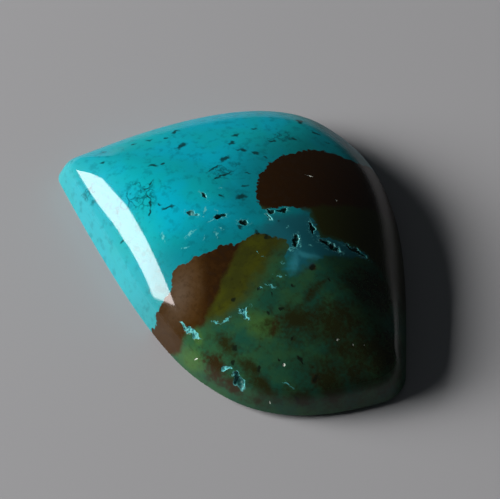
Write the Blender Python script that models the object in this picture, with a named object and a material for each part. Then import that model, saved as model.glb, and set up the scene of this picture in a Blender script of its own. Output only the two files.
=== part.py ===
"""A gem silica cabochon: one piece of chrysocolla chalcedony, cut and polished.

The stone is a freeform with two rounded points. It lies on its flat back, which
is ground off at a small bevel. A low tapered wall, the girdle, runs round it
above the bevel, a rounded shoulder leads in from the wall, and a smooth crown
rises from the shoulder to the highest point. Small natural vugs break the
polished crown. Everything is in metres, with +Z up and the long way along X.
"""

import math

import bmesh
import bpy
from mathutils import Matrix, Vector, noise
from mathutils.bvhtree import BVHTree
from mathutils.geometry import interpolate_bezier

MM = 0.001

# Plan, seen from above. Each point is where its two sides would meet if sharp.
LEFT_POINT = Vector((-17.4, -3.9)) * MM
LEFT_POINT_RADIUS = 1.3 * MM
LEFT_POINT_ARRIVE = math.radians(246)
LEFT_POINT_LEAVE = math.radians(332.5)
RIGHT_POINT = Vector((17.6, -4.3)) * MM
RIGHT_POINT_RADIUS = 2.7 * MM
RIGHT_POINT_ARRIVE = math.radians(56.5)
RIGHT_POINT_LEAVE = math.radians(125)
FRONT_BULGE = Vector((6.0, -12.8)) * MM
BACK_BULGE = Vector((-2.6, 12.8)) * MM

# How far each side keeps its direction as it leaves a point or a bulge.
LEFT_TO_FRONT = (18.5 * MM, 2.8 * MM)
FRONT_TO_RIGHT = (5.3 * MM, 4.2 * MM)
RIGHT_TO_BACK = (14.0 * MM, 7.2 * MM)
BACK_TO_LEFT = (6.2 * MM, 8.0 * MM)
SIDE_STEPS = 24
CORNER_STEPS = 7

# Cross-section, from the back up. Insets are measured on a side at REACH.
HEIGHT = 6.2 * MM
BACK_BEVEL = 0.4 * MM
GIRDLE_TOP = 1.55 * MM
GIRDLE_TAPER = math.radians(16)
SHOULDER_RADIUS = 2.5 * MM
SHOULDER_SLOPE = math.radians(42)
SHOULDER_STEPS = 6
CROWN_STEPS = 15
REACH = 12.0 * MM
CROWN_CENTRE = Vector((0.8, -0.6)) * MM

# The ridges that climb from the two points get rounder on the way up by this
# much, and the crown's levels draw towards an oval.
RIDGE_ROUNDING = 5.0 * MM
CROWN_OVAL = (15.0 * MM, 11.5 * MM)
OVAL_SHARE = 0.7

# Natural vugs that the polished crown cuts open: where the middle is on the
# plan in mm, length and width in mm, and the plan angle of the length in degrees.
VUGS = {
    "split_on_front_shoulder": ((2.2, -11.1), (2.6, 0.55), -9),
    "eye_near_front_edge": ((7.8, -11.9), (1.4, 0.85), -20),
    "squiggle_near_front_edge": ((6.4, -11.8), (1.1, 0.4), 28),
    "nest_on_front_slope": ((5.4, -8.4), (1.1, 0.6), -35),
    "long_seam_on_crown": ((6.8, 0.5), (1.6, 0.5), 22),
    "seam_end_on_crown": ((8.0, 1.6), (1.5, 0.36), 27),
    "upright_slot": ((4.7, 0.7), (1.0, 0.42), -62),
    "pair_by_brown_patch_left": ((1.3, -0.4), (0.8, 0.45), 20),
    "pair_by_brown_patch_right": ((1.9, 0.45), (0.9, 0.45), 30),
    "dark_slot_in_turquoise": ((-1.5, -2.9), (1.1, 0.45), 30),
}
VUG_DEPTH = 0.45 * MM
VUG_ROUGHNESS = 0.25
VUG_LUMPS = 3.0

TURQUOISE = (0.02, 0.42, 0.46, 1.0)
POLISH = 0.1


def rounded_corner(corner, arrive, leave, radius):
    """Two (point, direction, handle) knots where an arc replaces a sharp corner."""
    turn = leave - arrive
    set_back = radius * math.tan(turn / 2)
    handle = radius * math.tan(turn / 4) * 4 / 3
    first = Vector((math.cos(arrive), math.sin(arrive)))
    second = Vector((math.cos(leave), math.sin(leave)))
    return (
        (corner - first * set_back, first, handle),
        (corner + second * set_back, second, handle),
    )


def stretch(start, start_way, end, end_way, handles, steps):
    """Points of one curved side from start up to, but not with, its end."""
    first, last = handles
    curve = interpolate_bezier(
        start.to_3d(),
        (start + start_way * first).to_3d(),
        (end - end_way * last).to_3d(),
        end.to_3d(),
        steps + 1,
    )
    return [point.to_2d() for point in curve[:-1]]


def plan_outline(rounding):
    """The girdle's outline, its points' radii raised by rounding, anticlockwise."""
    left_turn = (LEFT_POINT_ARRIVE, LEFT_POINT_LEAVE)
    right_turn = (RIGHT_POINT_ARRIVE, RIGHT_POINT_LEAVE)
    left_in, left_out = rounded_corner(LEFT_POINT, *left_turn, LEFT_POINT_RADIUS + rounding)
    right_in, right_out = rounded_corner(RIGHT_POINT, *right_turn, RIGHT_POINT_RADIUS + rounding)
    left_cut = rounding * math.tan((LEFT_POINT_LEAVE - LEFT_POINT_ARRIVE) / 2)
    right_cut = rounding * math.tan((RIGHT_POINT_LEAVE - RIGHT_POINT_ARRIVE) / 2)
    to_front = (LEFT_TO_FRONT[0] - left_cut, LEFT_TO_FRONT[1])
    to_right = (FRONT_TO_RIGHT[0], FRONT_TO_RIGHT[1] - right_cut)
    to_back = (RIGHT_TO_BACK[0] - right_cut, RIGHT_TO_BACK[1])
    to_left = (BACK_TO_LEFT[0], BACK_TO_LEFT[1] - left_cut)
    along_x = Vector((1, 0))
    knots = (
        (left_in[0], left_in[1], (left_in[2], left_out[2]), CORNER_STEPS),
        (left_out[0], left_out[1], to_front, SIDE_STEPS),
        (FRONT_BULGE, along_x, to_right, SIDE_STEPS),
        (right_in[0], right_in[1], (right_in[2], right_out[2]), CORNER_STEPS),
        (right_out[0], right_out[1], to_back, SIDE_STEPS),
        (BACK_BULGE, -along_x, to_left, SIDE_STEPS),
    )
    points = []
    for here, after in zip(knots, knots[1:] + knots[:1]):
        points += stretch(here[0], here[1], after[0], after[1], here[2], here[3])
    return points


def cross_section():
    """(inset, height, share of the crown climbed) for each level, back to top."""
    levels = [(BACK_BEVEL, 0.0, 0.0), (0.0, BACK_BEVEL, 0.0)]
    wall_inset = (GIRDLE_TOP - BACK_BEVEL) * math.tan(GIRDLE_TAPER)
    steep = math.pi / 2 - GIRDLE_TAPER
    for step in range(SHOULDER_STEPS + 1):
        slope = steep + (SHOULDER_SLOPE - steep) * step / SHOULDER_STEPS
        inset = wall_inset + SHOULDER_RADIUS * (math.sin(steep) - math.sin(slope))
        height = GIRDLE_TOP + SHOULDER_RADIUS * (math.cos(slope) - math.cos(steep))
        levels.append((inset, height, 0.0))
    start, foot, _ = levels[-1]
    rise = HEIGHT - foot
    fullness = math.tan(SHOULDER_SLOPE) * (REACH - start) / rise
    for step in range(1, CROWN_STEPS):
        climbed = (step / CROWN_STEPS) ** 1.15
        inset = start + (REACH - start) * climbed
        levels.append((inset, HEIGHT - rise * (1 - climbed) ** fullness, climbed))
    return levels


def oval_point(way):
    """Where a ray from the crown's centre leaves the crown's oval."""
    across, along = CROWN_OVAL
    return way * (across * along) / math.hypot(way.x * along, way.y * across)


def level_ring(inset, climbed):
    """The outline drawn in towards the crown's centre, its points rounded off."""
    scale = 1 - inset / REACH
    ring = []
    for point in plan_outline(RIDGE_ROUNDING * climbed):
        arm = point - CROWN_CENTRE
        arm = arm.lerp(oval_point(arm.normalized()), OVAL_SHARE * climbed)
        ring.append(CROWN_CENTRE + arm * scale)
    return ring


def stone_mesh():
    """The closed stone before its vugs: back, bevel, girdle, shoulder and crown."""
    mesh = bmesh.new()
    rings = []
    for inset, height, climbed in cross_section():
        ring = level_ring(inset, climbed)
        rings.append([mesh.verts.new((p.x, p.y, height)) for p in ring])
    mesh.faces.new(reversed(rings[0]))
    count = len(rings[0])
    for lower, upper in zip(rings, rings[1:]):
        for i in range(count):
            j = (i + 1) % count
            mesh.faces.new((lower[i], lower[j], upper[j], upper[i]))
    top = mesh.verts.new((CROWN_CENTRE.x, CROWN_CENTRE.y, HEIGHT))
    for i in range(count):
        mesh.faces.new((rings[-1][i], rings[-1][(i + 1) % count], top))
    mesh.normal_update()
    return mesh


def polished_stone():
    """The polished gem material, turquoise blue over most of the crown."""
    material = bpy.data.materials.new("gem_silica")
    material.use_nodes = True
    shader = material.node_tree.nodes["Principled BSDF"]
    shader.inputs["Base Color"].default_value = TURQUOISE
    shader.inputs["Roughness"].default_value = POLISH
    shader.inputs["Metallic"].default_value = 0.0
    material.diffuse_color = TURQUOISE
    return material


def add_object(name, mesh):
    """A new object in the scene that holds a finished mesh."""
    data = bpy.data.meshes.new(name)
    mesh.to_mesh(data)
    mesh.free()
    item = bpy.data.objects.new(name, data)
    bpy.context.scene.collection.objects.link(item)
    return item


def vug_cutter(name, place, size, turn, crown):
    """A lumpy lens, half sunk in the crown, that cuts one vug."""
    above = Vector((place[0] * MM, place[1] * MM, 2 * HEIGHT))
    middle, outward = crown.ray_cast(above, Vector((0, 0, -1)))[:2]
    along = Vector((math.cos(turn), math.sin(turn), 0))
    along = (along - outward * along.dot(outward)).normalized()
    across = outward.cross(along)
    lie = Matrix((along, across, outward)).transposed()
    mesh = bmesh.new()
    bmesh.ops.create_icosphere(mesh, subdivisions=2, radius=1.0)
    for corner in mesh.verts:
        lump = noise.noise(corner.co * VUG_LUMPS + middle / MM)
        corner.co *= 1 + VUG_ROUGHNESS * lump
        corner.co.x *= size[0] / 2 * MM
        corner.co.y *= size[1] / 2 * MM
        corner.co.z *= VUG_DEPTH
    mesh.transform(Matrix.Translation(middle) @ lie.to_4x4())
    cutter = add_object(name, mesh)
    cutter.hide_render = True
    cutter.display_type = "WIRE"
    return cutter


def build():
    for item in list(bpy.data.objects):
        bpy.data.objects.remove(item)
    mesh = stone_mesh()
    crown = BVHTree.FromBMesh(mesh)
    stone = add_object("cabochon", mesh)
    stone.data.materials.append(polished_stone())
    stone.data.shade_smooth()
    for name, (place, size, turn) in VUGS.items():
        cutter = vug_cutter(name, place, size, math.radians(turn), crown)
        cut = stone.modifiers.new(name, "BOOLEAN")
        cut.operation = "DIFFERENCE"
        cut.solver = "EXACT"
        cut.object = cutter


build()
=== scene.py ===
import math

import bmesh
import bpy
import numpy as np
from mathutils import Matrix, Vector, noise
from mathutils.geometry import interpolate_bezier


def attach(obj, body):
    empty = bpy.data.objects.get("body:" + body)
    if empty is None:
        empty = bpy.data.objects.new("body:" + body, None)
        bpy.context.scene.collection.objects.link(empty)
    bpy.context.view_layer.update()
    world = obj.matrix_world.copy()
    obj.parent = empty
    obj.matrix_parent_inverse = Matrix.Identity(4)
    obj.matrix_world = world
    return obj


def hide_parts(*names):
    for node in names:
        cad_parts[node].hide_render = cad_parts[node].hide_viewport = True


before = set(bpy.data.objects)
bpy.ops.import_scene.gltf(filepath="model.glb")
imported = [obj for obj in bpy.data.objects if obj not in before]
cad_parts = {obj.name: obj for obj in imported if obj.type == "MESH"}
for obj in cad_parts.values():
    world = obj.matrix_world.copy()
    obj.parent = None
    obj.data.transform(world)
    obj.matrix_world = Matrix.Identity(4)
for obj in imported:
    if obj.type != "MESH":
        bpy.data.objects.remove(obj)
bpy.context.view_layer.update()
bpy.ops.object.select_all(action="DESELECT")

# The stone
# One piece of chrysocolla chalcedony, sawn to a freeform plan with two rounded
# points, ground to a flat back, a low tapered girdle and a domed crown, and then
# polished all over. Its open vugs were there before it was cut.

MM = 0.001

# The plan in mm. Each point is where its two sides would meet if it were sharp.
LEFT_POINT = Vector((-17.4, -3.9))
LEFT_POINT_RADIUS = 1.3
LEFT_POINT_TURN = (math.radians(246), math.radians(332.5))
RIGHT_POINT = Vector((17.6, -4.3))
RIGHT_POINT_RADIUS = 2.7
RIGHT_POINT_TURN = (math.radians(56.5), math.radians(125))
FRONT_BULGE = Vector((6.0, -12.8))
BACK_BULGE = Vector((-2.6, 12.8))
# How far each side keeps its direction as it leaves a point or a bulge.
LEFT_TO_FRONT = (18.5, 2.8)
FRONT_TO_RIGHT = (5.3, 4.2)
RIGHT_TO_BACK = (14.0, 7.2)
BACK_TO_LEFT = (6.2, 8.0)
LONG_SIDE_STEPS = 100
SHORT_SIDE_STEPS = 60
CORNER_STEPS = 12

HEIGHT = 6.2
BACK_BEVEL = 0.4
GIRDLE_TOP = 1.55
GIRDLE_TAPER = math.radians(16)
# Each side's girdle height, shoulder radius, and slope where the crown takes over.
STEEP_SIDE = (GIRDLE_TOP, 2.5, math.radians(42))
GENTLE_SIDE = (1.35, 4.2, math.radians(25))
# Which way the gentle side faces, and how far round from there it starts and is full.
GENTLE_WAY = math.radians(91)
GENTLE_FROM = math.radians(103)
GENTLE_FULL = math.radians(71)
# How far it is from the girdle in to the crown's centre, as insets count it.
REACH = 12.0
CROWN_CENTRE = Vector((0.8, -0.6))
# The ridges that climb from the two points get rounder on the way up by this much,
# and the crown's levels draw towards an oval.
RIDGE_ROUNDING = 5.0
CROWN_OVAL = (15.0, 11.5)
OVAL_SHARE = 0.7
WALL_STEPS = 4
SHOULDER_STEPS = 9
CROWN_STEPS = 46
BACK_STEPS = 20
SMALLEST_RING = 0.015


def rounded_corner(corner, turn, radius):
    """The ends of a corner's arc, each (point, way, handle), and how far they are set back."""
    angle = turn[1] - turn[0]
    set_back = radius * math.tan(angle / 2)
    handle = radius * math.tan(angle / 4) * 4 / 3
    ways = [Vector((math.cos(a), math.sin(a))) for a in turn]
    return (
        (corner - ways[0] * set_back, ways[0], handle),
        (corner + ways[1] * set_back, ways[1], handle),
        set_back,
    )


def plan_outline(rounding):
    """The stone's outline in mm, anticlockwise, its corner radii raised by rounding."""
    left_radius = LEFT_POINT_RADIUS + rounding
    right_radius = RIGHT_POINT_RADIUS + rounding
    left_in, left_out, left_cut = rounded_corner(LEFT_POINT, LEFT_POINT_TURN, left_radius)
    right_in, right_out, right_cut = rounded_corner(RIGHT_POINT, RIGHT_POINT_TURN, right_radius)
    left_cut *= rounding / left_radius
    right_cut *= rounding / right_radius
    along_x = Vector((1, 0))
    to_front = (LEFT_TO_FRONT[0] - left_cut, LEFT_TO_FRONT[1])
    to_right = (FRONT_TO_RIGHT[0], FRONT_TO_RIGHT[1] - right_cut)
    to_back = (RIGHT_TO_BACK[0] - right_cut, RIGHT_TO_BACK[1])
    to_left = (BACK_TO_LEFT[0], BACK_TO_LEFT[1] - left_cut)
    knots = (
        (left_in[0], left_in[1], (left_in[2], left_out[2]), CORNER_STEPS),
        (left_out[0], left_out[1], to_front, LONG_SIDE_STEPS),
        (FRONT_BULGE, along_x, to_right, SHORT_SIDE_STEPS),
        (right_in[0], right_in[1], (right_in[2], right_out[2]), CORNER_STEPS),
        (right_out[0], right_out[1], to_back, LONG_SIDE_STEPS),
        (BACK_BULGE, -along_x, to_left, LONG_SIDE_STEPS),
    )
    points = []
    for here, after in zip(knots, knots[1:] + knots[:1]):
        start, start_way, (first, last), steps = here
        end, end_way = after[:2]
        curve = interpolate_bezier(
            start.to_3d(),
            (start + start_way * first).to_3d(),
            (end - end_way * last).to_3d(),
            end.to_3d(),
            steps + 1,
        )
        points += [point.to_2d() for point in curve[:-1]]
    return points


def gentleness(way):
    """0 on the steep side of the stone and 1 on the gentle one, with a smooth step between."""
    middle = Vector((math.cos(GENTLE_WAY), math.sin(GENTLE_WAY)))
    share = (GENTLE_FROM - way.angle(middle)) / (GENTLE_FROM - GENTLE_FULL)
    share = min(max(share, 0.0), 1.0)
    return share * share * (3 - 2 * share)


def level_ring(steep, gentle, climbed):
    """The outline drawn in towards the crown's centre, rounder the higher it is."""
    across, along = CROWN_OVAL
    ring = []
    for point in plan_outline(RIDGE_ROUNDING * climbed):
        arm = point - CROWN_CENTRE
        way = arm.normalized()
        oval = way * (across * along) / math.hypot(way.x * along, way.y * across)
        arm = arm.lerp(oval, OVAL_SHARE * climbed)
        inset, height = Vector(steep).lerp(gentle, gentleness(way))
        spot = CROWN_CENTRE + arm * (1 - inset / REACH)
        ring.append(Vector((spot.x, spot.y, height)))
    return ring


def side_profile(girdle_top, radius, slope_at_crown):
    """(inset, height) of each level on one side, from the bevel's foot to the top."""
    wall_inset = (girdle_top - BACK_BEVEL) * math.tan(GIRDLE_TAPER)
    levels = [(BACK_BEVEL, 0.0), (BACK_BEVEL / 2, BACK_BEVEL / 2)]
    for step in range(WALL_STEPS):
        share = step / WALL_STEPS
        levels.append((wall_inset * share, BACK_BEVEL + (girdle_top - BACK_BEVEL) * share))
    steep = math.pi / 2 - GIRDLE_TAPER
    for step in range(SHOULDER_STEPS + 1):
        slope = steep + (slope_at_crown - steep) * step / SHOULDER_STEPS
        inset = wall_inset + radius * (math.sin(steep) - math.sin(slope))
        levels.append((inset, girdle_top + radius * (math.cos(slope) - math.cos(steep))))
    start, foot = levels[-1]
    rise = HEIGHT - foot
    fullness = math.tan(slope_at_crown) * (REACH - start) / rise
    for step in range(1, CROWN_STEPS + 1):
        climbed = step / CROWN_STEPS * (1 - SMALLEST_RING)
        levels.append((start + (REACH - start) * climbed, HEIGHT - rise * (1 - climbed) ** fullness))
    return levels


def crown_levels():
    """(steep side, gentle side, share of the crown climbed) from the foot to the top."""
    steep_side = side_profile(*STEEP_SIDE)
    gentle_side = side_profile(*GENTLE_SIDE)
    below_crown = len(steep_side) - CROWN_STEPS
    levels = []
    for i, (steep, gentle) in enumerate(zip(steep_side, gentle_side)):
        climbed = max(i + 1 - below_crown, 0) / CROWN_STEPS * (1 - SMALLEST_RING)
        levels.append((steep, gentle, climbed))
    return levels


def back_levels():
    """The same for the flat back, from the bevel's foot in to the middle."""
    levels = []
    for step in range(1, BACK_STEPS + 1):
        climbed = step / BACK_STEPS * (1 - SMALLEST_RING)
        inset = BACK_BEVEL + (REACH - BACK_BEVEL) * climbed
        levels.append(((inset, 0.0), (inset, 0.0), climbed))
    return levels


def draw_rings(mesh, levels):
    """Extrudes the selected ring once for each level, and closes the last one to a point."""
    for level in levels:
        bpy.ops.mesh.extrude_region_move()
        form = bmesh.from_edit_mesh(mesh)
        seat = form.verts.layers.int["seat"]
        ring = level_ring(*level)
        for corner in form.verts:
            if corner.select:
                corner.co = ring[corner[seat]] * MM
        bmesh.update_edit_mesh(mesh)
    bpy.ops.mesh.merge(type="CENTER")


# Each corner of a ring keeps its seat, its number round the outline, in all the others.
seats = len(plan_outline(0))
bpy.ops.mesh.primitive_circle_add(vertices=seats, radius=REACH * MM)
stone = bpy.context.active_object
stone.name = "stone"
bpy.ops.object.mode_set(mode="EDIT")
bpy.ops.mesh.select_mode(type="VERT")
form = bmesh.from_edit_mesh(stone.data)
form.verts.ensure_lookup_table()
seat = form.verts.layers.int.new("seat")
for i, spot in enumerate(level_ring(*crown_levels()[0])):
    form.verts[i][seat] = i
    form.verts[i].co = spot * MM
bmesh.update_edit_mesh(stone.data)
bpy.ops.mesh.select_all(action="SELECT")
draw_rings(stone.data, crown_levels()[1:])
bpy.ops.mesh.select_all(action="DESELECT")
form = bmesh.from_edit_mesh(stone.data)
for edge in form.edges:
    if edge.is_boundary:
        edge.select = True
bmesh.update_edit_mesh(stone.data)
draw_rings(stone.data, back_levels())
bpy.ops.mesh.select_all(action="SELECT")
bpy.ops.mesh.normals_make_consistent(inside=False)
bpy.ops.mesh.select_all(action="DESELECT")
bpy.ops.object.mode_set(mode="OBJECT")

# The vugs
# Natural hollows and slots that the polished crown cuts open. Pale chrysocolla
# crusts their walls, as a thin broken rim or until it fills the whole slot.

# Each row is the middle on the plan, the length and width, the angle in degrees
# and how far crust fills it.
VUGS = (
    ((2.3, -11.05), (2.1, 0.27), -9, 0.8),
    ((7.6, -11.95), (1.3, 0.52), -12, 0.42),
    ((6.4, -11.85), (0.9, 0.22), 28, 0.9),
    ((5.3, -8.3), (0.9, 0.26), -14, 0.9),
    ((5.15, -8.1), (0.75, 0.18), 70, 0.9),
    ((6.8, 0.4), (1.9, 0.52), 11, 0.0),
    ((8.3, 1.7), (1.7, 0.4), 15, 0.1),
    ((4.8, 0.7), (1.2, 0.4), -42, 0.1),
    ((1.55, -0.15), (0.6, 0.35), 38, 0.2),
    ((2.1, 0.5), (0.85, 0.4), 57, 0.2),
    ((1.7, -0.7), (0.8, 0.2), -18, 1.0),
    ((4.7, -1.2), (1.2, 0.45), 120, 0.3),
    ((-1.3, -2.85), (0.95, 0.4), 48, 0.1),
    ((0.5, -2.3), (0.75, 0.5), 40, 0.2),
    ((-3.6, -1.95), (0.8, 0.3), -14, 0.3),
    ((-3.3, -3.8), (1.1, 0.3), 8, 0.5),
)
# Thin threads and crumbs of the same crust, closed over by the polish.
CRUMBS = (
    ((4.45, -9.35), (0.5, 0.2), 63),
    ((3.8, -9.8), (0.7, 0.12), 20),
    ((5.65, -4.45), (0.65, 0.2), 32),
    ((5.7, -5.5), (0.7, 0.2), 13),
    ((5.1, -6.0), (0.25, 0.2), 0),
    ((5.2, -3.35), (0.35, 0.15), 20),
    ((5.3, -1.3), (0.25, 0.2), 0),
    ((5.8, -0.75), (0.25, 0.2), 0),
    ((3.4, -0.55), (0.2, 0.2), 0),
    ((4.9, -2.1), (0.3, 0.25), 0),
    ((-3.0, -0.6), (0.25, 0.15), 0),
    ((-2.6, -3.1), (0.5, 0.15), 120),
    ((-2.4, -3.6), (0.25, 0.15), 30),
    ((-1.6, -3.5), (0.5, 0.12), 75),
    ((-1.9, -2.6), (0.25, 0.15), 0),
    ((-0.45, -4.35), (0.65, 0.13), -32),
    ((-0.5, -3.75), (0.4, 0.15), 0),
    ((-2.3, -5.2), (0.9, 0.2), 80),
    ((-1.1, -5.1), (0.4, 0.12), 100),
    ((-4.1, -6.4), (0.7, 0.15), -30),
    ((-1.9, -6.4), (0.4, 0.12), 60),
    ((3.0, -3.8), (0.2, 0.15), 0),
    ((3.7, -3.8), (0.2, 0.15), 0),
    ((10.9, -10.2), (0.9, 0.12), 10),
)
# Pin holes, each with a near-white painted highlight where a crystal face would catch the light.
GLINTS = (
    ((1.3, 5.0), (0.55, 0.2), 32),
    ((4.3, 4.5), (0.3, 0.2), 0),
    ((11.9, -5.5), (0.22, 0.2), 0),
    ((13.0, -5.0), (0.18, 0.15), 0),
    ((13.7, -4.4), (0.18, 0.15), 0),
    ((10.0, -9.4), (0.18, 0.16), 0),
    ((10.35, -11.5), (0.18, 0.08), 0),
    ((3.7, -12.2), (0.18, 0.08), 0),
    ((1.3, -12.6), (0.16, 0.06), 0),
)
# Dark flakes and veinlets inside the stone, just under the polish.
FLAKES = (
    ((-4.9, 2.2), (0.95, 0.42), 80),
    ((-8.8, 1.7), (0.95, 0.45), 85),
    ((-10.5, 3.1), (0.8, 0.25), 80),
    ((-10.6, 2.0), (0.4, 0.2), 60),
    ((-11.6, 1.2), (0.45, 0.2), 40),
    ((-12.4, 0.2), (0.4, 0.15), 70),
    ((-13.1, -2.8), (0.45, 0.2), 60),
    ((-14.1, -1.6), (0.4, 0.15), 30),
    ((-9.0, -1.4), (0.7, 0.3), 30),
    ((-8.5, -0.9), (0.4, 0.2), 100),
    ((-5.3, -4.25), (0.85, 0.25), 38),
    ((-6.1, -4.3), (0.35, 0.2), 10),
    ((-4.85, 0.85), (1.2, 0.2), 80),
    ((-3.7, 0.8), (1.6, 0.2), 70),
    ((-4.0, 0.1), (0.5, 0.32), 40),
    ((-5.7, 4.2), (0.55, 0.35), 50),
    ((-6.1, 5.2), (0.7, 0.3), 70),
    ((-4.5, 3.9), (0.75, 0.28), 25),
    ((-3.4, 4.3), (0.65, 0.28), 25),
    ((-2.5, 4.3), (0.35, 0.25), 0),
    ((-3.3, 6.4), (0.55, 0.18), 45),
    ((-2.3, 7.7), (0.65, 0.28), 32),
    ((-3.4, 10.1), (0.55, 0.5), 0),
    ((-1.6, 9.75), (0.6, 0.17), 8),
    ((-0.3, 9.5), (0.55, 0.17), 20),
    ((-5.5, 6.8), (0.4, 0.25), 30),
    ((-2.3, 2.0), (0.45, 0.17), 30),
    ((-1.75, 0.7), (0.55, 0.22), 40),
    ((-1.2, -0.35), (0.8, 0.45), 50),
    ((-2.5, -1.2), (0.4, 0.25), 20),
    ((0.55, -2.85), (0.4, 0.3), 0),
    ((-7.2, -7.6), (0.4, 0.2), 30),
    ((-7.95, -3.1), (0.7, 0.14), 100),
    ((-8.0, -3.7), (0.5, 0.14), 60),
    ((-7.3, -4.1), (0.7, 0.13), -20),
    ((-6.8, -4.6), (0.6, 0.14), -45),
    ((-6.4, -5.1), (0.7, 0.13), -65),
    ((1.9, -2.4), (0.5, 0.25), 20),
    ((2.8, -2.3), (0.65, 0.3), 0),
    ((2.55, -0.5), (0.3, 0.25), 0),
    ((6.95, -4.45), (0.4, 0.28), 0),
    ((7.1, -2.2), (0.4, 0.5), 0),
    ((4.0, -7.9), (0.25, 0.4), 0),
    ((5.05, -6.2), (0.3, 0.3), 0),
    ((6.8, -7.2), (0.3, 0.3), 0),
    ((6.1, -6.0), (0.5, 0.12), -40),
    ((6.1, -10.6), (0.5, 0.3), 0),
    ((6.6, -11.3), (0.22, 0.2), 0),
    ((8.5, -10.7), (0.28, 0.25), 0),
    ((12.3, -8.65), (0.45, 0.6), 0),
    ((10.7, -8.4), (0.7, 0.2), 0),
    ((9.3, -7.6), (0.22, 0.2), 0),
    ((7.4, -6.4), (0.3, 0.25), 0),
    ((8.8, -2.2), (0.3, 0.25), 0),
    ((9.4, -9.4), (0.25, 0.2), 0),
    ((11.9, -10.4), (0.5, 0.2), 20),
)
# The mesh is cut finer at the marks and this far round them.
FINE_CUTS = 3
MARGIN = 0.22
VUG_DEPTH = 0.35
DEPTH_TO_WIDTH = 0.65
FILLED_SLOT_DEPTH = 0.12
PIN_HOLE_DEPTH = 0.08
# How steeply a vug's wall falls, and how lumpy its floor is, in cycles per mm and in mm.
WALL_STEEPNESS = 3
LUMP_SCALE = 5.0
LUMP_DEPTH = 0.08
# The lumps' fineness, the step from each size of lump to the next, and how many sizes.
LUMP_KIND = (1.0, 2.0, 3)
# How soon the lumps are full size on the way in from a vug's edge.
LUMPS_SET_IN = 4
# How far the marks' outlines wander, in mm, and how often, in cycles per mm.
WANDER = 0.2
WANDER_SCALE = 3.0
# How far apart in the noise the two ways of wandering are read.
OTHER_WANDER = Vector((0, 0, 7.3))
# What a field says where no mark is near.
FAR_OUTSIDE = -3.0


def mark_frames(points, row):
    """Each plan point as seen from a mark, along and across it, in mm."""
    turn = math.radians(row[2])
    offset = points - np.array(row[0])
    along = offset @ np.array((math.cos(turn), math.sin(turn)))
    across = offset @ np.array((-math.sin(turn), math.cos(turn)))
    return along, across


def closeness(points, rows):
    """1 in a mark's middle, 0 on its edge, less outside, and which mark is nearest."""
    best = np.full(len(points), FAR_OUTSIDE)
    nearest = np.zeros(len(points), int)
    for i, row in enumerate(rows):
        along, across = mark_frames(points, row)
        here = 1 - np.hypot(along / (row[1][0] / 2), across / (row[1][1] / 2))
        closer = here > best
        best[closer] = here[closer]
        nearest[closer] = i
    return best, nearest


def measures(items, name):
    """One measure of every corner or face, in rows of three numbers."""
    numbers = np.empty(len(items) * 3)
    items.foreach_get(name, numbers)
    return numbers.reshape(-1, 3)


def keep_fields(fields):
    """Stores named numbers on the stone's corners for its material to read."""
    for name, values in fields.items():
        layer = stone.data.attributes.new(name, "FLOAT", "POINT")
        layer.data.foreach_set("value", values.astype(np.float32))


centres = measures(stone.data.polygons, "center") / MM
fine = np.zeros(len(centres), bool)
for row in VUGS + CRUMBS + GLINTS + FLAKES:
    length, width = row[1]
    along, across = mark_frames(centres[:, :2], row)
    fine |= (np.abs(along) < length / 2 + MARGIN) & (np.abs(across) < width / 2 + MARGIN)
fine &= centres[:, 2] > BACK_BEVEL
bpy.ops.object.mode_set(mode="EDIT")
bpy.ops.mesh.select_mode(type="FACE")
bpy.ops.mesh.select_all(action="DESELECT")
bpy.ops.object.mode_set(mode="OBJECT")
stone.data.polygons.foreach_set("select", fine)
bpy.ops.object.mode_set(mode="EDIT")
bpy.ops.mesh.subdivide(number_cuts=FINE_CUTS, smoothness=0.0)
bpy.ops.mesh.select_all(action="DESELECT")
bpy.ops.object.mode_set(mode="OBJECT")

spots = measures(stone.data.vertices, "co") / MM
normals = measures(stone.data.vertices, "normal")
wander = []
for x, y, _ in spots:
    place = Vector((x, y, 0)) * WANDER_SCALE
    wander.append((noise.noise(place), noise.noise(place + OTHER_WANDER)))
above = spots[:, 2] > BACK_BEVEL
wandered = spots[:, :2] + WANDER * np.array(wander)
in_vug, nearest_vug = closeness(wandered, VUGS)
crust = np.array([row[3] for row in VUGS])[nearest_vug]
vug_width = np.array([row[1][1] for row in VUGS])[nearest_vug]
inside = np.clip(in_vug, 0, 1) * above
open_depth = np.minimum(VUG_DEPTH, vug_width * DEPTH_TO_WIDTH)
deep = open_depth * (1 - crust) + FILLED_SLOT_DEPTH * crust
sunk = deep * (1 - (1 - inside) ** WALL_STEEPNESS)
lumps = [noise.fractal(Vector(spot) * LUMP_SCALE, *LUMP_KIND) for spot in spots]
sunk += LUMP_DEPTH * np.array(lumps) * np.clip(inside * LUMPS_SET_IN, 0, 1)
in_glint = closeness(wandered, GLINTS)[0]
sunk += PIN_HOLE_DEPTH * np.clip(in_glint, 0, 1) * above
marks = {
    "vug": in_vug,
    "crust": crust,
    "crumb": closeness(wandered, CRUMBS)[0],
    "glint": in_glint,
    "flake": closeness(wandered, FLAKES)[0],
}
keep_fields({name: np.where(above, values, FAR_OUTSIDE) for name, values in marks.items()})
cut = (spots - normals * sunk[:, None]) * MM
stone.data.vertices.foreach_set("co", cut.ravel())
stone.data.update()

# The pattern
# Where the blue chrysocolla, the brown jasper matrix and the olive and green
# clouds between them lie in the stone, as outlines on its plan.

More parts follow.
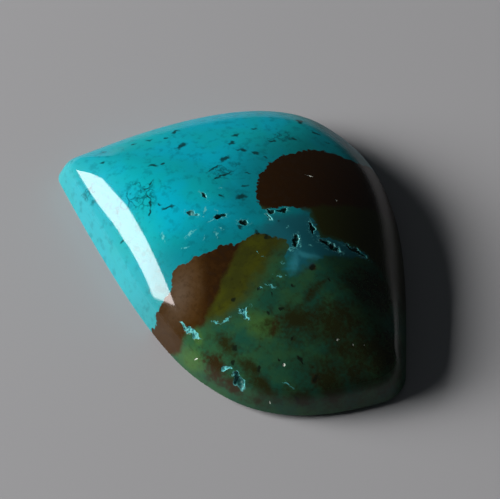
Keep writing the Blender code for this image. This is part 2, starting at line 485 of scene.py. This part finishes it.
BLUE_ENDS_FAR = (
    (4.6, 14.0), (3.6, 11.2), (2.8, 9.6), (1.8, 9.2), (0.9, 8.8), (0.0, 8.3), (-0.5, 7.5),
    (-1.1, 6.6), (-1.6, 5.5), (-1.8, 4.0), (-1.6, 2.4), (-0.9, 1.3), (-0.4, 0.4), (0.5, -0.3),
    (1.1, -0.3), (1.6, 0.4), (2.1, 1.1), (2.8, 1.5), (3.6, 1.9), (4.2, 1.5), (4.9, 1.0),
    (5.8, 0.5), (6.5, 1.1), (8.1, 1.9), (9.2, 2.1), (20.0, 1.0), (20.0, 14.0),
)
BLUE_ENDS_NEAR = (
    (0.6, -14.0), (0.0, -12.6), (-0.7, -11.5), (-1.2, -10.7), (-1.0, -10.0), (-1.2, -8.9),
    (-1.6, -8.4), (-1.6, -7.9), (-1.0, -7.2), (-0.7, -6.6), (-0.4, -6.2), (0.0, -5.8),
    (0.2, -5.2), (0.4, -4.8), (1.2, -4.3), (1.6, -3.5), (1.7, -2.8), (2.0, -2.2),
    (2.9, -2.1), (3.5, -1.8), (4.0, -1.6), (4.4, -1.8), (4.8, -2.2), (5.1, -2.9),
    (5.5, -3.8), (6.3, -3.9), (6.8, -3.0), (6.9, -1.6), (7.2, -0.7), (8.2, 0.5), (9.1, 2.0),
    (9.8, 3.0), (20.0, 3.0), (20.0, -14.0),
)
BROWN_FAR = (
    (-6.0, 14.0), (-6.0, -2.0), (2.2, 0.2), (3.4, 1.9), (4.1, 3.2), (5.0, 4.4), (5.8, 5.5),
    (7.0, 6.8), (8.4, 8.0), (10.0, 10.0), (10.0, 14.0),
)
BROWN_NEAR = (
    (-6.0, -3.0), (1.4, -3.2), (1.6, -3.9), (2.1, -5.8), (2.4, -7.3), (2.8, -8.8), (3.1, -10.4),
    (2.2, -11.2), (2.3, -12.4), (2.3, -14.0), (-6.0, -14.0),
)
LIGHT_BROWN = (
    (-6.0, -4.0), (-0.6, -6.2), (0.6, -7.4), (1.3, -8.4), (2.2, -9.6), (2.4, -10.6),
    (0.4, -10.8), (-0.6, -10.0), (-6.0, -12.0),
)
OLIVE_BAND = (
    (1.0, -2.0), (3.0, -1.0), (4.3, -1.6), (4.1, -3.4), (4.1, -4.3), (4.6, -6.6), (4.1, -9.0),
    (3.2, -10.0), (1.0, -10.4),
)
CHANNEL = (
    (1.3, -4.0), (1.6, -0.2), (3.6, 2.4), (11.0, 3.5), (11.0, 0.0), (6.5, -5.0), (4.4, -3.0),
)
# The palest stretch of the channel, as soft clouds like those in the matrix.
TONGUE = (
    ((5.9, -3.2), (1.6, 0.5), -65),
    ((6.4, -1.6), (1.3, 0.35), 25),
)
# Where the channel fades softly into the matrix.
SOFT_EDGES = (
    ((6.7, -3.0), (2.4, 1.8), 40),
    ((8.8, -0.2), (2.2, 1.3), 40),
    ((3.4, 2.4), (0.9, 0.8), 45),
)
# A painted reflection over the brown, where the polish would mirror the dim glow beside the window.
PAINTED_REFLECTION_SPOT = (
    ((-0.1, -9.4), (1.8, 1.0), -60),
)
# Soft clouds in the matrix: the middle on the plan, the half length and width, the angle.
RUST = (
    ((7.4, -12.4), (1.1, 0.4), -8),
    ((5.6, -12.1), (1.4, 0.8), -20),
    ((7.8, -7.9), (0.8, 0.3), 104),
    ((12.3, -8.7), (0.35, 0.4), 0),
    ((7.1, -2.2), (0.3, 0.35), 0),
)
# Umber clouds are dark stains in the matrix; the widest, over the right end away from the window,
# also darken it as painted shade.
UMBER = (
    ((5.5, -10.7), (1.3, 0.5), -8),
    ((7.7, -11.0), (1.5, 0.5), 2),
    ((9.1, -6.2), (2.8, 1.5), 50),
    ((11.2, -4.6), (3.2, 1.9), 35),
    ((9.4, -11.3), (1.8, 0.5), 0),
    ((12.2, -10.2), (1.3, 0.6), 20),
    ((8.4, -3.6), (1.6, 0.4), 90),
    ((12.6, -5.8), (1.5, 0.7), 25),
    ((14.2, -6.6), (1.6, 1.0), 40),
    ((9.8, -12.1), (1.0, 0.4), 10),
    ((11.6, 0.6), (3.0, 2.0), 60),
    ((14.4, -4.6), (3.6, 2.6), 60),
    ((13.0, -8.0), (2.2, 1.2), 30),
    ((13.8, -8.6), (1.1, 0.7), 20),
)
LEAF = (
    ((7.0, -8.3), (1.8, 1.2), 20),
    ((3.6, -12.4), (1.8, 0.8), -5),
    ((3.2, -11.2), (0.8, 0.4), -30),
)
TEAL_CLOUDS = (
    ((10.6, -2.4), (1.2, 0.8), 40),
    ((11.0, -9.0), (1.8, 1.2), 30),
    ((6.2, -6.6), (1.3, 0.9), 60),
    ((6.8, -9.6), (1.8, 0.5), 10),
)
# Where thin dark veinlets net the blue.
VEINED = (
    ((-8.2, -4.6), (2.4, 1.5), 50),
    ((-4.0, 1.0), (1.8, 1.0), 70),
    ((-3.4, 7.2), (1.2, 0.8), 60),
    ((-12.6, -5.4), (1.6, 0.5), -20),
)
# Where the pattern drifts for each mm down the girdle, and the share of that for each
# mm in from the edge on the back.
DIP = (0.8, -0.5)
BACK_DRIFT = 0.35
# Painted light: the colour is made paler where the surface faces the window. Which way that is,
# the height where the painted light starts, and how far below that it is palest.
PAINTED_LIGHT_WAY = (-0.60, -0.75, 0.28)
PAINTED_LIGHT_TOP = 5.6
PAINTED_LIGHT_DEPTH = 3.2
# The height where the gloss starts to turn satin, and how far below it is all satin.
FRONT_SATIN = (2.75, 0.7)
GENTLE_SATIN = (4.3, 1.1)
# Faces that meet at more than this stay sharp.
EDGE_ANGLE = math.radians(35)


def reach_inside(points, outline):
    """How far inside an outline each plan point lies in mm, negative outside."""
    nearest = np.full(len(points), np.inf)
    inside = np.zeros(len(points), bool)
    corners = np.array(outline)
    for start, end in zip(corners, np.roll(corners, -1, axis=0)):
        side = end - start
        share = np.clip((points - start) @ side / (side @ side), 0, 1)
        gap = points - start - share[:, None] * side
        nearest = np.minimum(nearest, np.hypot(gap[:, 0], gap[:, 1]))
        crosses = (points[:, 1] < start[1]) != (points[:, 1] < end[1])
        rise = side[1] if side[1] else 1.0
        at = start[0] + (points[:, 1] - start[1]) * side[0] / rise
        inside ^= crosses & (points[:, 0] < at)
    return np.where(inside, nearest, -nearest)


def cloud_density(points, clouds):
    """The densest of some soft clouds at each plan point, 1 in the middle of one."""
    total = np.zeros(len(points))
    for row in clouds:
        along, across = mark_frames(points, row)
        away = (along / row[1][0]) ** 2 + (across / row[1][1]) ** 2
        total = np.maximum(total, np.exp(-away))
    return total


def below_height(top, depth):
    """0 where the stone is higher than top, and 1 from depth below it down."""
    return np.clip((top - spots[:, 2]) / depth, 0, 1)


below_girdle = np.clip(GIRDLE_TOP - spots[:, 2], 0, None)
on_back = spots[:, 2] < BACK_BEVEL / 4
from_edge = reach_inside(spots[:, :2], plan_outline(0)) * on_back
drift = below_girdle + BACK_DRIFT * from_edge
places = spots[:, :2] + drift[:, None] * np.array(DIP)
far = reach_inside(places, BLUE_ENDS_FAR)
near = reach_inside(places, BLUE_ENDS_NEAR)
on_far_side = far > near
# Painted light: how squarely each corner faces the window, low on the stone.
painted_flank_light = np.clip(normals @ np.array(PAINTED_LIGHT_WAY), 0, 1) * below_height(PAINTED_LIGHT_TOP, PAINTED_LIGHT_DEPTH)
gentle_share = np.array([gentleness(Vector(spot[:2]) - CROWN_CENTRE) for spot in spots])
satin = np.maximum(below_height(*FRONT_SATIN), below_height(*GENTLE_SATIN) * gentle_share)
far_brown = reach_inside(places, BROWN_FAR)
near_brown = reach_inside(places, BROWN_NEAR)
light_brown = reach_inside(places, LIGHT_BROWN)
keep_fields({
    "matrix": np.maximum(far, near),
    "brown": np.where(on_far_side, far_brown, near_brown),
    "light_brown": np.where(on_far_side, FAR_OUTSIDE, light_brown),
    "olive": reach_inside(places, OLIVE_BAND),
    "channel": reach_inside(places, CHANNEL),
    "tongue": cloud_density(places, TONGUE),
    "soft_edge": cloud_density(places, SOFT_EDGES),
    "painted_reflection": cloud_density(places, PAINTED_REFLECTION_SPOT),
    "far_side": far,
    "rust": cloud_density(places, RUST),
    "umber": cloud_density(places, UMBER),
    "leaf": cloud_density(places, LEAF),
    "teal": cloud_density(places, TEAL_CLOUDS),
    "veined": cloud_density(places, VEINED),
    "painted_flank_light": painted_flank_light,
    "satin": satin,
})

bpy.ops.object.select_all(action="DESELECT")
stone.select_set(True)
bpy.context.view_layer.objects.active = stone
bpy.ops.object.shade_smooth_by_angle(angle=EDGE_ANGLE)

# The polish
# The stone's colour runs through it, so the colours follow places in the stone, except for the
# painted light on the flank that faces the window, which follows the way the surface faces.
# The surface over them has the hard gloss of polished chalcedony on the crown, and
# is duller, like satin, on the girdle and low on the far shoulder.

BLUE = (0.001, 0.36, 0.475, 1)
GREENER_BLUE = (0.002, 0.35, 0.385, 1)
# Painted light: this pale blue stands for the blue on the flank that faces the window.
PAINTED_LIT_BLUE = (0.040, 0.335, 0.355, 1)
DEEP_BLUE = (0.002, 0.105, 0.10, 1)
VEIN_TEAL = (0.001, 0.085, 0.10, 1)
FLAKE = (0.003, 0.030, 0.030, 1)
DARK_FLAKE = (0.006, 0.010, 0.005, 1)
CHANNEL_TEAL = (0.008, 0.105, 0.130, 1)
TONGUE_BLUE = (0.024, 0.20, 0.24, 1)
DARK_BROWN = (0.017, 0.0065, 0.0010, 1)
BROWN = (0.032, 0.013, 0.0025, 1)
PALER_BROWN = (0.062, 0.030, 0.008, 1)
# The haze colour is a painted reflection over the brown, not a colour of the stone.
REFLECTED_HAZE = (0.13, 0.10, 0.075, 1)
# Painted light: this brown stands for the brown on the flank that faces the window.
PAINTED_LIT_BROWN = (0.046, 0.020, 0.002, 1)
RUST_BROWN = (0.027, 0.014, 0.003, 1)
UMBER_OLIVE = (0.017, 0.017, 0.003, 1)
OLIVE = (0.033, 0.037, 0.005, 1)
YELLOWER_OLIVE = (0.048, 0.054, 0.004, 1)
DARK_OLIVE = (0.019, 0.021, 0.003, 1)
LEAF_GREEN = (0.052, 0.130, 0.028, 1)
GREEN = (0.022, 0.085, 0.035, 1)
TEAL = (0.010, 0.070, 0.042, 1)
CRUST = (0.13, 0.50, 0.50, 1)
THREAD = (0.10, 0.46, 0.46, 1)
VUG_FLOOR = (0.004, 0.060, 0.052, 1)
# A painted highlight colour for the pin holes.
PAINTED_GLINT = (0.80, 0.85, 0.75, 1)
STONE_IOR = 1.54
GLOSS = 0.045
SATIN_ROUGHNESS = 0.36
HOLLOW_ROUGHNESS = 0.45
# The grain on the hollows' floors, in cycles per mm and in mm, and the share that shows.
HOLLOW_GRAIN_SCALE = 9.0
HOLLOW_GRAIN_DEPTH = 0.02
HOLLOW_GRAIN_STRENGTH = 0.4
# The scallops along the blue's edge: cells per mm, the part of a cell that bulges out,
# and how far it bulges in mm.
SCALLOP_SCALE = 2.2
SCALLOP_REACH = 0.42
SCALLOP_DEPTH = 0.35
# The net of veinlets: cells per mm, a veinlet's half width as a share of a cell, and
# how often and how far the net is bent, in cycles per mm and in mm.
VEIN_SCALE = 0.85
VEIN_WIDTH = 0.15
VEIN_BEND_SCALE = 1.3
VEIN_BEND = 2.2
HAZE_STRENGTH = 0.38
# Where a mix node has its colours, since its sockets share their names.
FIRST_COLOUR = 6
SECOND_COLOUR = 7
MIXED_COLOUR = 2

polish = bpy.data.materials.new("gem_silica_polish")
polish.use_nodes = True
tree = polish.node_tree
shader = tree.nodes["Principled BSDF"]


def add(kind, **settings):
    """A new node of the material with its settings."""
    node = tree.nodes.new(kind)
    for name, value in settings.items():
        setattr(node, name, value)
    return node


def plug(node, values):
    """Links each named socket to an output, or sets it to a value."""
    for name, value in values.items():
        socket = node.inputs[name]
        if isinstance(value, bpy.types.NodeSocket):
            tree.links.new(value, socket)
        else:
            socket.default_value = value


in_metres = add("ShaderNodeTexCoord").outputs["Object"]
node = add("ShaderNodeVectorMath", operation="SCALE")
plug(node, {"Vector": in_metres, "Scale": 1 / MM})
in_mm = node.outputs["Vector"]


def maths(operation, *values):
    """The result of one sum on numbers or outputs."""
    node = add("ShaderNodeMath", operation=operation)
    plug(node, dict(enumerate(values)))
    return node.outputs[0]


def soft_step(value, start, full, most=1.0):
    """0 on one side of start, the most past full, and a smooth rise between."""
    node = add("ShaderNodeMapRange", interpolation_type="SMOOTHSTEP")
    plug(node, {"Value": value, "From Min": start, "From Max": full, "To Max": most})
    return node.outputs["Result"]


def blend(share, first, second):
    """The first colour turning to the second as share goes from 0 to 1."""
    node = add("ShaderNodeMix", data_type="RGBA")
    plug(node, {"Factor": share, FIRST_COLOUR: first, SECOND_COLOUR: second})
    return node.outputs[MIXED_COLOUR]


def grain(scale, detail=3.0, roughness=0.55):
    """Cloudy noise round 0, with scale in cycles per mm."""
    node = add("ShaderNodeTexNoise")
    plug(node, {"Vector": in_mm, "Scale": scale, "Detail": detail, "Roughness": roughness})
    return maths("SUBTRACT", node.outputs["Fac"], 0.5)


def field(name):
    """One of the stone's own pattern fields."""
    return add("ShaderNodeAttribute", attribute_name=name).outputs["Fac"]


def roughened(name, by, scale, detail=4.0):
    """A pattern field whose edges wander with cloudy noise."""
    return maths("ADD", field(name), maths("MULTIPLY", grain(scale, detail, 0.6), by))


def wispy(name, by, scale, fine_by, fine_scale, fine_detail):
    """A roughened field that finer noise breaks up into wisps."""
    fine = maths("MULTIPLY", grain(fine_scale, fine_detail), fine_by)
    return maths("ADD", roughened(name, by, scale, detail=6.0), fine)


# The line between blue and matrix is sharp and finely scalloped, and faded in places.
node = add("ShaderNodeTexVoronoi", feature="F1")
plug(node, {"Vector": in_mm, "Scale": SCALLOP_SCALE})
scallop = maths("SUBTRACT", SCALLOP_REACH, node.outputs["Distance"])
scallop = maths("MULTIPLY", scallop, SCALLOP_DEPTH)
edge = maths("ADD", roughened("matrix", by=0.55, scale=1.3), scallop)
sharp = soft_step(edge, start=-0.04, full=0.05)
faded = soft_step(edge, start=-0.8, full=0.35)
node = add("ShaderNodeMix")
plug(node, {"Factor": soft_step(field("soft_edge"), start=0.25, full=0.7), "A": sharp, "B": faded})
in_matrix = node.outputs["Result"]

# Blue: a little greener in clouds, painted paler as if lit on the flank that faces the window,
# darker and duller in the channel.
greener = soft_step(grain(scale=0.22), start=-0.12, full=0.15)
blue = blend(greener, BLUE, GREENER_BLUE)
deeper = soft_step(edge, start=-4.5, full=-0.3, most=0.62)
blue = blend(deeper, blue, DEEP_BLUE)
# Painted light: the blue is made paler where the surface faces the window.
paler = soft_step(field("painted_flank_light"), start=0.0, full=0.85, most=0.6)
blue = blend(paler, blue, PAINTED_LIT_BLUE)
mottle = soft_step(grain(scale=1.6, detail=5, roughness=0.6), start=0.0, full=0.17, most=0.32)
blue = blend(mottle, blue, VEIN_TEAL)
tongue = soft_step(roughened("tongue", by=1.0, scale=1.2, detail=5.0), start=0.2, full=0.9)
channel = soft_step(roughened("channel", by=1.2, scale=0.9), start=-0.2, full=1.1)
blue = blend(channel, blue, blend(tongue, CHANNEL_TEAL, TONGUE_BLUE))
wobble = add("ShaderNodeTexNoise")
plug(wobble, {"Vector": in_mm, "Scale": VEIN_BEND_SCALE, "Detail": 3.0})
bent = add("ShaderNodeVectorMath", operation="MULTIPLY_ADD")
plug(bent, {0: wobble.outputs["Color"], 1: (VEIN_BEND, VEIN_BEND, VEIN_BEND), 2: in_mm})
node = add("ShaderNodeTexVoronoi", feature="DISTANCE_TO_EDGE")
plug(node, {"Vector": bent.outputs["Vector"], "Scale": VEIN_SCALE})
vein = soft_step(node.outputs["Distance"], start=VEIN_WIDTH, full=0.0, most=0.75)
veined = soft_step(roughened("veined", by=2.2, scale=0.9), start=0.3, full=0.9)
blue = blend(maths("MULTIPLY", vein, veined), blue, VEIN_TEAL)

# Brown: darker on the far side, painted paler as if lit on the flank that faces the window, and with
# a painted reflection of hazy light over part of it.
darker = soft_step(grain(scale=1.6, detail=5, roughness=0.65), start=-0.2, full=0.2)
brown = blend(darker, BROWN, DARK_BROWN)
far_side = soft_step(field("far_side"), start=-0.1, full=0.1, most=0.7)
brown = blend(far_side, brown, DARK_BROWN)
paler = roughened("light_brown", by=1.2, scale=1.6, detail=6.0)
brown = blend(soft_step(paler, start=-0.6, full=0.6, most=0.9), brown, PALER_BROWN)
# Painted light: the brown is made paler where the surface faces the window.
lit = soft_step(field("painted_flank_light"), start=0.1, full=0.7, most=0.7)
brown = blend(lit, brown, PAINTED_LIT_BROWN)
# Painted reflection: a pale haze laid into the brown's colour.
reflected_haze = maths("MULTIPLY", roughened("painted_reflection", by=0.5, scale=1.6), HAZE_STRENGTH)
brown = blend(reflected_haze, brown, REFLECTED_HAZE)
speckle = soft_step(grain(scale=2.6, detail=6, roughness=0.7), start=-0.05, full=0.2, most=0.4)
brown = blend(speckle, brown, DARK_BROWN)

# Green: teal and leaf green in clouds, an olive band, and darker and rusty wisps; the widest dark
# umber wisps, over the right end, are partly painted shade.
tealer = soft_step(grain(scale=0.6, detail=5), start=-0.14, full=0.14)
green = blend(tealer, GREEN, TEAL)
teal = soft_step(roughened("teal", by=0.9, scale=0.8), start=0.3, full=0.9, most=0.7)
green = blend(teal, green, TEAL)
leaf = soft_step(roughened("leaf", by=0.9, scale=0.9), start=0.2, full=1.0, most=0.8)
green = blend(leaf, green, LEAF_GREEN)
yellower = soft_step(grain(scale=0.8, detail=5, roughness=0.6), start=-0.15, full=0.15)
olive_band = soft_step(roughened("olive", by=1.6, scale=0.7), start=-0.9, full=0.6)
green = blend(olive_band, green, blend(yellower, OLIVE, YELLOWER_OLIVE))
# Partly painted shade: the umber wisps stain the matrix and also darken the right end.
umber = wispy("umber", by=1.6, scale=0.9, fine_by=1.2, fine_scale=3.2, fine_detail=4)
green = blend(soft_step(umber, start=0.0, full=1.1, most=0.95), green, UMBER_OLIVE)
rust = wispy("rust", by=1.5, scale=1.2, fine_by=1.0, fine_scale=4.0, fine_detail=3)
green = blend(soft_step(rust, start=0.15, full=0.95, most=0.95), green, RUST_BROWN)
far_side = soft_step(field("far_side"), start=-0.3, full=0.5)
green = blend(far_side, green, DARK_OLIVE)
speckle = soft_step(grain(scale=2.2, detail=6, roughness=0.65), start=0.02, full=0.2, most=0.45)
green = blend(speckle, green, UMBER_OLIVE)

in_brown = soft_step(roughened("brown", by=1.0, scale=0.8), start=-0.25, full=0.3)
colour = blend(in_matrix, blue, blend(in_brown, green, brown))

# Marks over both: dark flakes, crust in crumbs, fine curls and rims, and glints painted as
# highlights.
flake = soft_step(roughened("flake", by=1.5, scale=3.2), start=-0.55, full=0.5, most=0.9)
colour = blend(flake, colour, blend(in_matrix, FLAKE, DARK_FLAKE))
crumb = soft_step(roughened("crumb", by=1.8, scale=4.5), start=0.1, full=0.5, most=0.85)
colour = blend(crumb, colour, THREAD)
curl = soft_step(maths("ABSOLUTE", grain(scale=2.3, detail=2.0)), start=0.028, full=0.004, most=0.7)
by_marks = soft_step(maths("MAXIMUM", field("vug"), field("crumb")), start=-1.0, full=-0.2)
off_flank = soft_step(field("painted_flank_light"), start=0.45, full=0.3)
curl = maths("MULTIPLY", maths("MULTIPLY", curl, by_marks), off_flank)
colour = blend(curl, colour, THREAD)
vug = roughened("vug", by=0.7, scale=4.0)
broken = soft_step(grain(scale=2.4), start=-0.1, full=0.06)
rim = soft_step(vug, start=-0.14, full=0.0)
rim = maths("MULTIPLY", rim, maths("MAXIMUM", broken, field("crust")))
colour = blend(rim, colour, CRUST)
bare = soft_step(field("crust"), start=0.9, full=0.2)
floor_seen = maths("MULTIPLY", soft_step(vug, start=0.02, full=0.16), bare)
colour = blend(floor_seen, colour, VUG_FLOOR)
# Painted highlight: the pin holes turn near-white.
glint = soft_step(field("glint"), start=0.0, full=0.3)
colour = blend(glint, colour, PAINTED_GLINT)

in_hollow = soft_step(vug, start=-0.1, full=0.1)
polished = maths("ADD", maths("MULTIPLY", field("satin"), SATIN_ROUGHNESS), GLOSS)
rough = add("ShaderNodeMapRange")
plug(rough, {"Value": in_hollow, "To Min": polished, "To Max": HOLLOW_ROUGHNESS})
hollow_grain = maths("MULTIPLY", grain(HOLLOW_GRAIN_SCALE, detail=4), in_hollow)
bump = add("ShaderNodeBump")
plug(bump, {"Strength": HOLLOW_GRAIN_STRENGTH, "Distance": HOLLOW_GRAIN_DEPTH * MM})
plug(bump, {"Height": hollow_grain})
plug(shader, {
    "Base Color": colour,
    "Roughness": rough.outputs["Result"],
    "Normal": bump.outputs["Normal"],
    "IOR": STONE_IOR,
    "Metallic": 0.0,
})

stone.data.materials.clear()
stone.data.materials.append(polish)
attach(stone, "root")
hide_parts("cabochon")

# The floor
# A plain pale sheet of matt card that the stone lies on, laid flat and wide enough
# that no edge of it comes into view.

FLOOR_HALF_SIDE = 0.6
FLOOR_COLOUR = (0.42, 0.42, 0.43, 1)
FLOOR_ROUGHNESS = 0.8

bpy.ops.object.select_all(action="DESELECT")
bpy.ops.mesh.primitive_plane_add(size=2 * FLOOR_HALF_SIDE)
floor = bpy.context.active_object
floor.name = "floor"
paper = bpy.data.materials.new("pale_sheet")
paper.use_nodes = True
matt = paper.node_tree.nodes["Principled BSDF"]
matt.inputs["Base Color"].default_value = FLOOR_COLOUR
matt.inputs["Roughness"].default_value = FLOOR_ROUGHNESS
floor.data.materials.append(paper)

# The camera
# It looks down on the stone from the front right, far enough away for a long lens,
# and is aimed a little to one side to put the stone where the photo has it.

CAMERA_SIDE = math.radians(38.2)
CAMERA_RISE = math.radians(52)
CAMERA_AWAY = 0.22
CAMERA_OVER = Vector((0, -4.1, 2.0)) * MM
CAMERA_ANGLE = math.radians(10.03)
NEAREST_SEEN = 0.01
# How far the aim is turned right and up of CAMERA_OVER, in radians.
FRAME_RIGHT = 0.00934
FRAME_UP = 0.00632

back = Vector((
    math.sin(CAMERA_SIDE) * math.cos(CAMERA_RISE),
    -math.cos(CAMERA_SIDE) * math.cos(CAMERA_RISE),
    math.sin(CAMERA_RISE),
))
right = Vector((math.cos(CAMERA_SIDE), math.sin(CAMERA_SIDE), 0))
up = back.cross(right)
eye = CAMERA_OVER + back * CAMERA_AWAY
away = (back - right * FRAME_RIGHT - up * FRAME_UP).normalized()
level = up.cross(away).normalized()
lens = bpy.data.cameras.new("camera")
lens.sensor_fit = "HORIZONTAL"
lens.angle = CAMERA_ANGLE
lens.clip_start = NEAREST_SEEN
camera = bpy.data.objects.new("camera", lens)
bpy.context.scene.collection.objects.link(camera)
aim = Matrix((level, away.cross(level), away)).transposed()
camera.matrix_world = Matrix.Translation(eye) @ aim.to_4x4()
bpy.context.scene.camera = camera

# The light
# A low window on the left, which the polish mirrors as one bright band, the soft
# daylight that comes in round it, and a dim sky.

LAMP_AWAY = 0.7
WINDOW_TINT = (1.0, 0.90, 0.88)
WINDOW_TILT = math.radians(-11)
SKY = (0.85, 0.93, 1.0, 1)
SKY_STRENGTH = 0.032


def soft_lamp(name, rise, side, size, power, colour=(1, 1, 1)):
    """A rectangle of light so many degrees up, and so many round from the camera's left."""
    rise = math.radians(rise)
    side = math.radians(side)
    ahead = Vector((-math.sin(CAMERA_SIDE), math.cos(CAMERA_SIDE), 0))
    level_way = -right * math.cos(side) + ahead * math.sin(side)
    towards = level_way * math.cos(rise) + Vector((0, 0, math.sin(rise)))
    glow = bpy.data.lights.new(name, "AREA")
    glow.shape = "RECTANGLE"
    glow.size = size[0]
    glow.size_y = size[1]
    glow.energy = power
    glow.color = colour
    lamp = bpy.data.objects.new(name, glow)
    bpy.context.scene.collection.objects.link(lamp)
    lamp.location = towards * LAMP_AWAY
    lamp.rotation_euler = towards.to_track_quat("Z", "Y").to_euler()
    return lamp


window = soft_lamp("window", rise=22.3, side=10.6, size=(0.24, 0.145), power=1.2, colour=WINDOW_TINT)
window.rotation_euler.rotate_axis("Z", WINDOW_TILT)
daylight = soft_lamp("daylight", rise=22.5, side=6, size=(0.50, 0.30), power=8.5)
daylight.visible_glossy = False

world = bpy.data.worlds.new("sky")
bpy.context.scene.world = world
world.use_nodes = True
sky = world.node_tree.nodes["Background"]
sky.inputs["Color"].default_value = SKY
sky.inputs["Strength"].default_value = SKY_STRENGTH
bpy.context.scene.view_settings.view_transform = "Standard"
